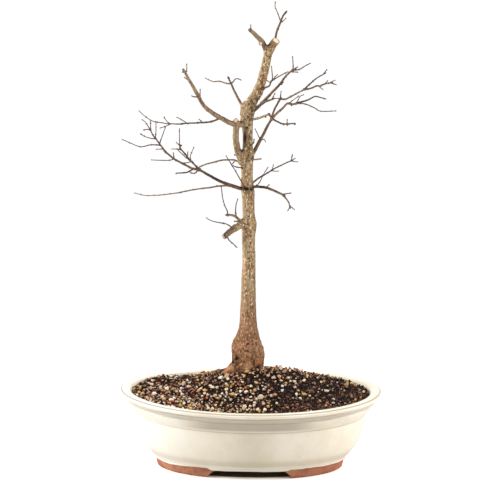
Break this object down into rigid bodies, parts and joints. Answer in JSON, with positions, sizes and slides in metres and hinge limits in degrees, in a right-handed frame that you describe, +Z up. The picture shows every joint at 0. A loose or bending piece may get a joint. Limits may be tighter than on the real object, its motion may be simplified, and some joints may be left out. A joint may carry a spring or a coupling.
{
  "type": "trident maple bonsai in an oval pot",
  "caption": "Leafless trident maple bonsai with a flared trunk and fine twigs, growing in gritty soil in an oval glazed pot on low feet.",
  "frame": {"origin": "on the ground plane under the middle of the whole object, which is the middle of the pot", "axes": "+Z up along the trunk, X along the pot's long way, -Y towards the viewer of the front"},
  "size_m": [0.413, 0.278, 0.7301],
  "materials": {
    "bark": "matte living bark",
    "glaze": "satin cream glaze over stoneware, bare terracotta feet",
    "soil": "dry gritty soil mix",
    "screen": "moulded plastic mesh"
  },
  "bodies": {
    "root": {"pot": "glaze", "soil": "soil", "tree": "bark", "drainage_screen_left": "screen", "drainage_screen_right": "screen"}
  },
  "joints": []
}
